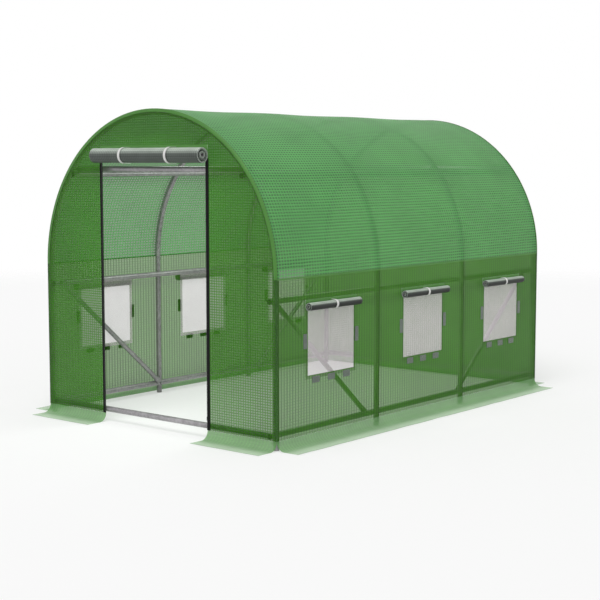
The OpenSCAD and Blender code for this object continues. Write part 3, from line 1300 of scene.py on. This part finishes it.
@dataclass
class Skirts:
    """Film that turns out of the walls and lies on the ground.

    Attributes:
        tunnel: Lines of the tunnel.
        pitch: Length of a face along the wall.
        bend_steps: Faces round the bend.
        tail_steps: Faces across the part that lies flat.
        lift: How far the ripples of the flat part rise.
        ripples: Ripples to a metre, along the wall and out from it.
        seeds: Places in the noise that the ripples of the side walls and the end walls are read from.
    """

    tunnel: Tunnel
    pitch: float = 0.05
    bend_steps: int = 8
    tail_steps: int = 6
    lift: float = 0.005
    ripples: tuple[float, float] = (5.0, 3.0)
    seeds: tuple[float, float] = (3.0, 7.0)

    def build(self) -> None:
        """Builds the five skirts."""
        for wall, node in (
            (Wall.LEFT, "left_skirt"),
            (Wall.RIGHT, "right_skirt"),
            (Wall.FRONT, "front_left_skirt"),
            (Wall.FRONT, "front_right_skirt"),
            (Wall.REAR, "rear_skirt"),
        ):
            self.skirt(wall, node)

    def skirt(self, wall: Wall, node: str) -> None:
        """Builds one skirt from the wall's lower edge out.

        Args:
            wall: The wall that it leaves.
            node: The CAD node that it stands for.
        """
        t = self.tunnel
        low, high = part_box(node)
        size = high - low
        length = abs(size.dot(wall.along))
        place = ((low + high) / 2).dot(wall.along)
        bend_r = high.z - t.film / 2
        tail = abs(size.dot(wall.out)) - t.film / 2 - bend_r
        arc = bend_r * math.pi / 2
        bm = bmesh.new()
        line(bm, (-length / 2, 0.0, high.z), (length / 2, 0.0, high.z), round(length / self.pitch) + 1)
        centre = Vector((0.0, bend_r, high.z))
        edges = spun(bm, bm.verts[:] + bm.edges[:], centre, RIGHT, math.pi / 2, self.bend_steps)
        for _ in range(self.tail_steps):
            edges = drawn(bm, edges, Vector((0.0, tail / self.tail_steps, 0.0)))

        def flat(vert: BMVert) -> tuple[float, float]:
            """Place on the flat cut.

            Args:
                vert: A vertex of the skirt before it is set on its wall.

            Returns:
                Its place along the wall, and out from the wall's lower edge.
            """
            out, up = vert.co.y, high.z - vert.co.z
            down = bend_r * math.atan2(up, bend_r - out) if out <= bend_r else arc + out - bend_r
            return vert.co.x + place, down

        place_uv(bm, flat)
        seed = wall.out.x * self.seeds[0] + wall.out.y * self.seeds[1]
        for vert in bm.verts:
            share = max(0.0, (vert.co.y - bend_r) / tail)
            wave = noise.noise(Vector((vert.co.x * self.ripples[0], vert.co.y * self.ripples[1], seed)))
            vert.co.z += self.lift * share * max(0.0, wave)
        moved(bm, wall.stand(wall.along * place + wall.out * (t.arch_r if wall in SIDES else t.half_l)))
        face_out(bm, lambda at: UP + wall.out)
        made = piece(bm, f"{node}_film", "skirt_film", SKIRT_FILM, replaces=(node,))


@dataclass(frozen=True)
class Roll:
    """A film sheet rolled up on a wall, its upper edge sewn to the wall above the roll.

    Attributes:
        length: Length of the roll.
        radius: Outside radius of the roll.
        core: Radius of the hollow in its middle.
        strip: Height of the sewn edge above the roll's axis.
        turns: Number of turns.
        ties: Places of the ties along the roll, from its middle.
        along_steps: Faces along the roll.
        turn_steps: Faces in one turn.
        strip_steps: Faces up the sewn edge.
        sewn_finish: Number of the sewn edge's finish, in the order that hang gives them.
        rim_finish: Number of the cut edges' finish, in the same order.
        film: Thickness of the rolled film.
        slack: Share of the roll's depth that one loose turn takes up, halfway in.
        slack_w: Share of the turns over which it does so.
        pinch: Share of the radius that a tie draws in.
        pinch_w: Width of the part that a tie draws in.
        lump: Share of the radius by which the turns lie unevenly.
        lumps: Lumps to a metre, along the roll and across it.
    """

    length: float
    radius: float
    core: float
    strip: float
    turns: float
    ties: tuple[float, ...]
    along_steps: int
    turn_steps: int
    strip_steps: int = 2
    sewn_finish: int = 1
    rim_finish: int = 2
    film: float = 0.0014
    slack: float = 0.38
    slack_w: float = 0.04
    pinch: float = 0.022
    pinch_w: float = 0.022
    lump: float = 0.012
    lumps: tuple[float, float] = (14.0, 30.0)

    @property
    def axis(self) -> Vector:
        """Point on the roll's axis."""
        return Vector((0.0, self.radius, 0.0))

    @property
    def sheet_length(self) -> float:
        """Length of the sheet when unrolled, with its sewn edge."""
        return self.strip + self.turns * math.pi * (self.radius + self.core)

    def wound(self, share: float) -> float:
        """Share of the roll's depth that lies outside a point, by the share of the turns outside it."""
        loose = 0.5 + 0.5 * math.tanh((share - 0.5) / self.slack_w)
        return (1.0 - self.slack) * share + self.slack * loose

    def mesh(self) -> BMesh:
        """Builds the sheet from its sewn edge inwards, with X along, Y out of and Z up the wall.

        Returns:
            The rolled sheet, its axis at a height of 0.
        """
        bm = bmesh.new()
        arc = bm.verts.layers.float.new("arc")
        outer = self.radius - self.film / 2
        inner = self.core + self.film / 2
        half, wall_y = self.length / 2, self.film / 2
        edges = line(bm, (-half, wall_y, self.strip), (half, wall_y, self.strip), self.along_steps)
        done = 0.0
        for _ in range(self.strip_steps):
            edges = drawn(bm, edges, -UP * self.strip / self.strip_steps)
            done += self.strip / self.strip_steps
            for vert in verts_of(edges):
                vert[arc] = done
        sewn = bm.faces[:]
        steps = round(self.turns * self.turn_steps)
        turn = 2 * math.pi * self.turns / steps
        spin = Matrix.Rotation(turn, 3, "X")
        radius = outer
        for step in range(1, steps + 1):
            edges = drawn(bm, edges, Vector())
            verts = verts_of(edges)
            bmesh.ops.rotate(bm, cent=self.axis, matrix=spin, verts=verts)
            smaller = outer - (outer - inner) * self.wound(step / steps)
            shrink = Vector((1.0, smaller / radius, smaller / radius))
            bmesh.ops.scale(bm, vec=shrink, space=Matrix.Translation(-self.axis), verts=verts)
            radius = smaller
            done += turn * radius
            for vert in verts:
                vert[arc] = done
        place_uv(bm, lambda v: (v.co.x, v[arc]))
        for face in sewn:
            face.material_index = self.sewn_finish
        # Height round the roll's axis, which the rolled finish turns into painted shade below and a painted
        # highlight on top.
        high = bm.verts.layers.float.new(HIGH_NOTE)
        for vert in bm.verts:
            vert[high] = min(1.0, max(0.0, 0.5 + 0.5 * vert.co.z / self.radius))
        self.settle(bm)
        return bm

    def settle(self, bm: BMesh) -> None:
        """Draws the roll in under its ties and lets its turns lie a little unevenly.

        Args:
            bm: The rolled sheet.
        """
        along, across = self.lumps
        for vert in bm.verts:
            # The sewn edge lies flat on its wall.
            if vert.co.z > 0.0 and vert.co.y < self.film:
                continue
            away = vert.co - self.axis
            away.x = 0.0
            pinch = sum(math.exp(-(((vert.co.x - tie) / self.pinch_w) ** 2)) for tie in self.ties)
            lump = noise.noise(Vector((vert.co.x * along, away.y * across, away.z * across)))
            vert.co -= away * (self.pinch * pinch + self.lump * (lump + 1.0))
        bm.normal_update()

    def hang(self, name: str, node: str, finish: RolledFinish, spot: Matrix, rests_on: str) -> None:
        """Makes the roll a piece on its wall.

        Args:
            name: Name of the piece.
            node: The CAD node that it stands for.
            finish: Finish of the rolled film.
            spot: Place of the roll on its wall.
            rests_on: The node or piece that carries it; not used.
        """
        bm = self.mesh()
        moved(bm, spot)
        made = piece(bm, name, "rolled_flap", finish, SEAM_FILM, PALE_EDGE, replaces=(node,))
        thicken(made, self.film, rim=self.rim_finish)


@dataclass(frozen=True)
class Tie:
    """A webbing strap round a roll, sewn above and below it.

    Attributes:
        radius: Radius of the roll that it holds.
        width: Width of the strap.
        thickness: Thickness of the strap.
        start: Distance from the wall to the strap's upper end.
        width_steps: Faces across the strap.
        bend_steps: Faces round the roll.
    """

    radius: float
    width: float = 0.018
    thickness: float = 0.002
    start: float = 0.002
    width_steps: int = 4
    bend_steps: int = 24

    def mesh(self) -> BMesh:
        """Builds the strap with X along, Y out of and Z up the wall.

        Returns:
            The strap, its roll's axis at a height of 0.
        """
        bm = bmesh.new()
        half = self.width / 2
        ride = self.radius + SEAT + self.thickness / 2
        edges = line(bm, (-half, self.start, ride), (half, self.start, ride), self.width_steps)
        edges = drawn(bm, edges, Vector((0.0, self.radius - self.start, 0.0)))
        centre = Vector((0.0, self.radius, 0.0))
        edges = spun(bm, edges + verts_of(edges), centre, -RIGHT, math.pi, self.bend_steps)
        drawn(bm, edges, -centre)
        bmesh.ops.remove_doubles(bm, verts=bm.verts[:], dist=TINY)
        bmesh.ops.recalc_face_normals(bm, faces=bm.faces[:])
        face_out(bm, lambda at: at - Vector((at.x, self.radius, 0.0)))
        place_uv(bm, lambda v: (v.co.x, v.co.y + v.co.z))
        return bm

    def hang(self, name: str, node: str, spots: Sequence[Matrix]) -> None:
        """Makes one piece of several straps.

        Args:
            name: Name of the piece.
            node: The CAD node that it stands for.
            spots: Place of each strap's roll on its wall.
        """
        bm = bmesh.new()
        bm.loops.layers.uv.new(FLAT_MAP)
        for spot in spots:
            one = self.mesh()
            moved(one, spot)
            join(bm, one)
        made = piece(bm, name, "white_tie", WEBBING, replaces=(node,))
        thicken(made, self.thickness)


@dataclass
class Door:
    """The rolled-up door with its ties and zips.

    Attributes:
        tunnel: Lines of the tunnel.
        turns: Turns of the rolled door.
        along_steps: Faces along the roll.
        turn_steps: Faces in one turn of the roll.
        tape_t: Thickness of a zip's tape.
        tooth: Size of a zip's tooth across, out and up.
        tooth_pitch: Distance between teeth.
        slider: Size of a zip's slider across, out and up.
        slider_z: Height of the slider above the zip's lower end.
    """

    tunnel: Tunnel
    turns: float = 8.5
    along_steps: int = 64
    turn_steps: int = 28
    tape_t: float = 0.0014
    tooth: tuple[float, float, float] = (0.0065, 0.0026, 0.0036)
    tooth_pitch: float = 0.006
    slider: tuple[float, float, float] = (0.0105, 0.0026, 0.022)
    slider_z: float = 0.07

    def build(self) -> None:
        """Builds the roll, its ties and both zips."""
        low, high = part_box("door_ties")
        reach = (high.x - low.x - Tie.width) / 2
        ties = (-reach, reach)
        height = halfway("door_roll_bar", Z)
        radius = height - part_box("door_roll")[0].z
        at = Vector((0.0, -self.tunnel.face_y - SEAT, height))
        self.roll(at, radius, ties)
        Tie(radius).hang("door_webbing", "door_ties", [Wall.FRONT.stand(at + RIGHT * x) for x in ties])
        self.zips()

    def roll(self, at: Vector, radius: float, ties: tuple[float, ...]) -> None:
        """Builds the rolled door.

        Args:
            at: Point of the front wall behind the middle of the roll.
            radius: Outside radius of the roll.
            ties: Places of the ties across the tunnel.
        """
        low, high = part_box("door_roll")
        bar_low, bar_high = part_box("door_roll_bar")
        sheet = Roll(
            length=high.x - low.x,
            radius=radius,
            core=(bar_high.z - bar_low.z) / 2 + SEAT,
            strip=high.z - halfway("door_roll_bar", Z),
            turns=self.turns,
            ties=ties,
            along_steps=self.along_steps,
            turn_steps=self.turn_steps,
        )
        sheet.hang("rolled_door", "door_roll", ROLLED_DOOR, Wall.FRONT.stand(at), "door_roll_bar")

    def zips(self) -> None:
        """Builds the tape, the teeth and the slider of both zips."""
        low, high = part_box("door_zips")
        half = self.tunnel.door_x
        width = high.x - half
        height = high.z - low.z
        across, out, _ = self.tooth
        tape = bmesh.new()
        teeth = bmesh.new()
        for side in (-1.0, 1.0):
            middle = Vector((side * (half + width / 2), high.y - self.tape_t / 2, halfway("door_zips", Z)))
            slab(tape, middle, Vector((width, self.tape_t, height)))
            foot = Vector((side * (half + across / 2), high.y - self.tape_t - out / 2, 0.0))
            for i in range(int(height / self.tooth_pitch)):
                slab(teeth, foot + UP * (low.z + (i + 0.5) * self.tooth_pitch), Vector(self.tooth))
            slab(teeth, foot + UP * (low.z + self.slider_z), Vector(self.slider))
        box_uv(tape)
        piece(tape, "zip_tapes", "black_zip", ZIP_TAPE, replaces=("door_zips",), smooth=False)
        piece(teeth, "zip_teeth", "black_zip", ZIP_TEETH, smooth=False)


@dataclass(frozen=True)
class WindowSet:
    """Places of the windows in the side walls.

    Attributes:
        tunnel: Lines of the tunnel.
        width: Width of a window.
        sill: Height of the sill.
        top: Height of a window's upper edge, which is the axis of its rolled flap.
        border: How far the net reaches past the window.
        roll_r: Radius of a rolled flap.
    """

    tunnel: Tunnel
    width: float
    sill: float
    top: float
    border: float
    roll_r: float

    @classmethod
    def read(cls, tunnel: Tunnel) -> WindowSet:
        """Reads the windows from their nets and rolls.

        Args:
            tunnel: Lines of the tunnel.

        Returns:
            The places of the windows.
        """
        low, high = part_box("right_window_nets")
        roll_low, roll_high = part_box("right_window_rolls")
        radius = (roll_high.x - tunnel.face_x - SEAT) / 2
        top = roll_low.z + radius
        border = high.z - top
        width = high.y - low.y - tunnel.row_l - 2 * border
        return cls(tunnel, width, sill=low.z + border, top=top, border=border, roll_r=radius)

    def places(self) -> list[float]:
        """Middles of the windows along the tunnel, one in each bay."""
        return spaced(BAYS, self.tunnel.bay)

    def openings(self, wall: Wall) -> list[tuple[Vector, Vector]]:
        """Lowest and highest corner of each window in a wall.

        Args:
            wall: Left or right.

        Returns:
            The two corners of each window, from the front.
        """
        x = wall.out.x * self.tunnel.arch_r
        return [
            (Vector((x, y - self.width / 2, self.sill)), Vector((x, y + self.width / 2, self.top)))
            for y in self.places()
        ]


@dataclass
class Windows:
    """Nets, rolled flaps, ties and hook-and-loop tabs of the side windows.

    Attributes:
        windows: Places of the windows.
        turns: Turns of a rolled flap.
        core: Radius of the hollow in a rolled flap.
        along_steps: Faces along a rolled flap.
        turn_steps: Faces in one turn of a rolled flap.
        pitch: Distance between the strands of a net.
        strand_w: Width of a strand.
        strand_t: Thickness of a strand.
        tab_t: Thickness of a tab.
        tab_corner: Radius of a tab's corners.
        tab_soft: Share of a tab's thickness that its softened edge takes.
        tab_inset: Distance from the window to a tab.
        sill_tabs: Tabs under a sill.
        sill_tab: Width and height of a tab under a sill.
        side_tab: Width and height of a tab beside a window.
    """

    windows: WindowSet
    turns: float = 4.5
    core: float = 0.005
    along_steps: int = 40
    turn_steps: int = 22
    pitch: float = 0.006
    strand_w: float = 0.0017
    strand_t: float = 0.0007
    tab_t: float = 0.002
    tab_corner: float = 0.005
    tab_soft: float = 0.4
    tab_inset: float = 0.010
    sill_tabs: int = 3
    sill_tab: tuple[float, float] = (0.070, 0.038)
    side_tab: tuple[float, float] = (0.035, 0.090)

    def build(self) -> None:
        """Builds everything in and round the windows."""
        w = self.windows
        for wall in SIDES:
            for number, y in enumerate(w.places(), 1):
                self.net(wall, number, y)
                self.flap(wall, number, y)
        spots = [self.spot(wall, y, w.top) for wall in SIDES for y in w.places()]
        Tie(w.roll_r).hang("window_webbing", "window_roll_ties", spots)
        self.tabs()

    def spot(self, wall: Wall, y: float, z: float) -> Matrix:
        """Places a piece on the outer face of a side wall."""
        return wall.stand(wall.out * (self.windows.tunnel.face_x + SEAT) + BACK * y + UP * z)

    def net(self, wall: Wall, number: int, y: float) -> None:
        """Builds one net from strands both ways, the upright ones behind.

        Args:
            wall: Left or right.
            number: Which window, from the front.
            y: Middle of the window along the tunnel.
        """
        w = self.windows
        width = w.width + 2 * w.border
        height = w.top - w.sill + 2 * w.border
        middle = Vector((0.0, y, (w.top + w.sill) / 2))
        face = w.tunnel.face_x - w.tunnel.film - SEAT
        level = Vector((self.strand_t, width, self.strand_w))
        upright = Vector((self.strand_t, self.strand_w, height))
        bm = bmesh.new()
        for layer, span, step, size in ((0.5, height, UP, level), (1.5, width, BACK, upright)):
            start = middle + RIGHT * (wall.out.x * (face - layer * self.strand_t))
            for place in spaced(int(span / self.pitch), self.pitch):
                slab(bm, start + step * place, size)
        node = f"{wall.word}_window_nets"
        made = piece(
            bm, f"{wall.word}_net_{number}", "window_net", NET_STRAND, replaces=(node,), smooth=False
        )

    def flap(self, wall: Wall, number: int, y: float) -> None:
        """Builds one rolled flap.

        Args:
            wall: Left or right.
            number: Which window, from the front.
            y: Middle of the window along the tunnel.
        """
        w = self.windows
        node = f"{wall.word}_window_rolls"
        low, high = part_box(node)
        sheet = Roll(
            length=high.y - low.y - w.tunnel.row_l,
            radius=w.roll_r,
            core=self.core,
            strip=high.z - w.top,
            turns=self.turns,
            ties=(0.0,),
            along_steps=self.along_steps,
            turn_steps=self.turn_steps,
        )
        name = f"{wall.word}_flap_{number}"
        sheet.hang(name, node, ROLLED_FLAP, self.spot(wall, y, w.top), f"{wall.word}_side_film")

    def tabs(self) -> None:
        """Builds the tabs under each sill and one at each side of a window."""
        w = self.windows
        bm = bmesh.new()
        low_z = w.sill - self.tab_inset - self.sill_tab[1] / 2
        side_y = w.width / 2 + self.tab_inset + self.side_tab[0] / 2
        for wall in SIDES:
            for y in w.places():
                for place in spaced(self.sill_tabs, w.width / self.sill_tabs):
                    self.tab(bm, self.spot(wall, y + place, low_z), self.sill_tab)
                for way in (-1, 1):
                    self.tab(bm, self.spot(wall, y + way * side_y, (w.sill + w.top) / 2), self.side_tab)
        bmesh.ops.recalc_face_normals(bm, faces=bm.faces[:])
        place_uv(bm, lambda v: (v.co.y, v.co.z))
        piece(bm, "hook_and_loop_tabs", "grey_tab", TAB_PILE, replaces=("window_tabs",), smooth=False)

    def tab(self, bm: BMesh, spot: Matrix, size: tuple[float, float]) -> None:
        """Adds one tab with round corners and a softened outer edge.

        Args:
            bm: The mesh of all tabs.
            spot: Place of the tab's middle on its wall.
            size: Width and height of the tab.
        """
        one = bmesh.new()
        corners = [(-0.5, -0.5), (0.5, -0.5), (0.5, 0.5), (-0.5, 0.5)]
        one.faces.new([one.verts.new((x * size[0], 0.0, z * size[1])) for x, z in corners])
        bevelled(one, one.verts[:], self.tab_corner, affect="VERTICES", segments=4)
        grown = bmesh.ops.extrude_face_region(one, geom=one.faces[:], use_keep_orig=True)["geom"]
        top = [g for g in grown if isinstance(g, BMVert)]
        bmesh.ops.translate(one, verts=top, vec=Vector((0.0, self.tab_t, 0.0)))
        rim = [e for e in one.edges if all(v.co.y > self.tab_t / 2 for v in e.verts)]
        bevelled(one, rim, self.tab_t * self.tab_soft, affect="EDGES", segments=2)
        moved(one, spot)
        join(bm, one)


@dataclass
class TubeFrame:
    """The tube frame, which keeps its CAD solids, and the bolts of its braces.

    Attributes:
        nodes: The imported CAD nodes.
        head_r: Radius of a bolt's hexagon.
        head_l: Height of a bolt's head.
        head_sides: Sides of a bolt's head.
        washer_r: Radius of a washer.
        washer_t: Thickness of a washer.
        washer_sides: Faces round a washer.
        lug_in: Distance from a brace's end to its bolt.
        lug_t: Thickness of a brace's flattened end.
    """

    nodes: dict[str, Object]
    head_r: float = 0.0085
    head_l: float = 0.0065
    head_sides: int = 6
    washer_r: float = 0.0125
    washer_t: float = 0.0018
    washer_sides: int = 24
    lug_in: float = 0.021
    lug_t: float = 0.004

    def build(self) -> None:
        """Gives the tubes their finish and builds the bolts."""
        for name, node in self.nodes.items():
            if any(word in name for word in TUBE_WORDS):
                node.data.materials.clear()
                node.data.materials.append(ZINC.material())
                LOG.info("%s: CAD solid", name)
        self.bolts()

    def bolts(self) -> None:
        """Builds a hexagon bolt with its washer on each flattened end of a brace."""
        bm = bmesh.new()
        heights = (halfway("right_mid_rail", Z), halfway("right_base_rail", Z))
        for side in SIDES:
            lug_x = min(abs(corner.x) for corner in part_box(f"{side.word}_mid_rail")) - SEAT - self.lug_t
            for end in ENDS:
                low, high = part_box(f"{side.word}_{end.word}_brace")
                places = (low.y + self.lug_in, high.y - self.lug_in)
                outer_first = sorted(places, key=lambda y, e=end: -y * e.out.y)
                for y, z in zip(outer_first, heights, strict=True):
                    self.bolt(bm, side.stand(side.out * lug_x + BACK * y + UP * z))
        bmesh.ops.recalc_face_normals(bm, faces=bm.faces[:])
        piece(bm, "brace_bolts", "galvanised_tube", ZINC, smooth=False)

    def bolt(self, bm: BMesh, spot: Matrix) -> None:
        """Adds one bolt that faces into the tunnel.

        Args:
            bm: The mesh of all bolts.
            spot: Place of the bolt on its lug, with Y out of the wall.
        """
        turn = Matrix.Rotation(math.pi / 2, 4, "X")
        for radius, length, start, sides in (
            (self.washer_r, self.washer_t, 0.0, self.washer_sides),
            (self.head_r, self.head_l, self.washer_t, self.head_sides),
        ):
            place = spot @ Matrix.Translation((0.0, -start - length / 2, 0.0)) @ turn
            bmesh.ops.create_cone(
                bm, cap_ends=True, segments=sides, radius1=radius, radius2=radius, depth=length, matrix=place
            )


@dataclass
class Studio:
    """Floor, light and camera.

    Attributes:
        floor_r: Radius of the floor.
        floor_sides: Number of its sides.
        floor_drop: How far it lies under the tunnel.
        floor_fade: Shares of its radius where it starts to fade and is gone.
        floor_colour: Colour of the floor.
        fill: Strength of the light from all round.
        sun: Strength of the soft light from above.
        sun_angle: Apparent size of the soft light, in degrees.
        sun_turn: Way the soft light comes from, as a turn in degrees about X, Y and Z.
        inner: Power of the light inside the tunnel, in watts.
        inner_size: Width and length of the light inside the tunnel.
        inner_z: Height of the light inside the tunnel.
        eye: Place of the camera.
        aim: Turn of the camera in degrees.
        lens: Focal length in millimetres.
        sensor: Width of the picture in the camera, in millimetres.
    """

    floor_r: float = 14.0
    floor_sides: int = 64
    floor_drop: float = 0.0005
    floor_fade: tuple[float, float] = (0.65, 0.93)
    floor_colour: Colour = (0.94, 0.94, 0.94)
    fill: float = 0.52
    sun: float = 1.6
    sun_angle: float = 40.0
    sun_turn: tuple[float, float, float] = (28.0, 0.0, 25.0)
    inner: float = 20.0
    inner_size: tuple[float, float] = (0.6, 2.6)
    inner_z: float = 1.86
    eye: tuple[float, float, float] = (5.97, -7.352, 1.672)
    aim: tuple[float, float, float] = (84.15, 0.0, 39.33)
    lens: float = 80.64
    sensor: float = 36.0

    def build(self) -> None:
        """Builds the studio."""
        self.floor()
        self.world()
        self.light()
        self.inner_light()
        self.camera()
        bpy.context.scene.view_settings.view_transform = "Standard"

    def floor(self) -> None:
        """Builds a pale floor just under the tunnel."""
        bm = bmesh.new()
        bmesh.ops.create_circle(bm, cap_ends=True, segments=self.floor_sides, radius=self.floor_r)
        bmesh.ops.translate(bm, verts=bm.verts[:], vec=-UP * self.floor_drop)
        near, far = (share * self.floor_r for share in self.floor_fade)
        finish = FloorFinish("studio_floor", self.floor_colour, near, far)
        made = formed(bm, "studio_floor", finish)
        # Its white is only for the eye, so it isn't sampled as a lamp.
        finish.material().cycles.emission_sampling = "NONE"

    def world(self) -> None:
        """Lights the scene from all round, and shows white behind it."""
        world = bpy.data.worlds.new("studio")
        bpy.context.scene.world = world
        bench = NodeBench.on(world)
        strength = bench.ramp(bench.seen(), start=self.fill)
        back = bench.first("ShaderNodeBackground", {"Color": WHITE, "Strength": strength})
        bench.add("ShaderNodeOutputWorld", {"Surface": back})

    def light(self) -> None:
        """Adds a broad soft light from above."""
        sun = bpy.data.lights.new("soft_light", "SUN")
        sun.energy = self.sun
        sun.angle = math.radians(self.sun_angle)
        linked("soft_light", sun).rotation_euler = [math.radians(a) for a in self.sun_turn]

    def inner_light(self) -> None:
        """Adds a broad light under the ridge, so that the film also glows from inside."""
        panel = bpy.data.lights.new("inner_light", "AREA")
        panel.shape = "RECTANGLE"
        panel.size, panel.size_y = self.inner_size
        panel.energy = self.inner
        made = linked("inner_light", panel)
        made.location = (0.0, 0.0, self.inner_z)
        made.visible_camera = False

    def camera(self) -> None:
        """Stands the camera where the picture was taken from."""
        camera = bpy.data.cameras.new("camera")
        camera.lens = self.lens
        camera.sensor_width = self.sensor
        made = linked("camera", camera)
        made.location = self.eye
        made.rotation_euler = [math.radians(a) for a in self.aim]
        bpy.context.scene.camera = made


def main() -> None:
    """Builds the tunnel's looks, piece by piece, and the studio round it."""
    logging.basicConfig(level=logging.INFO, format="%(message)s")
    tunnel = Tunnel.read()
    TubeFrame(frame["nodes"]).build()
    Cover(tunnel).build()
    Skirts(tunnel).build()
    Door(tunnel).build()
    Windows(WindowSet.read(tunnel)).build()
    Studio().build()


if __name__ == "__main__":
    main()
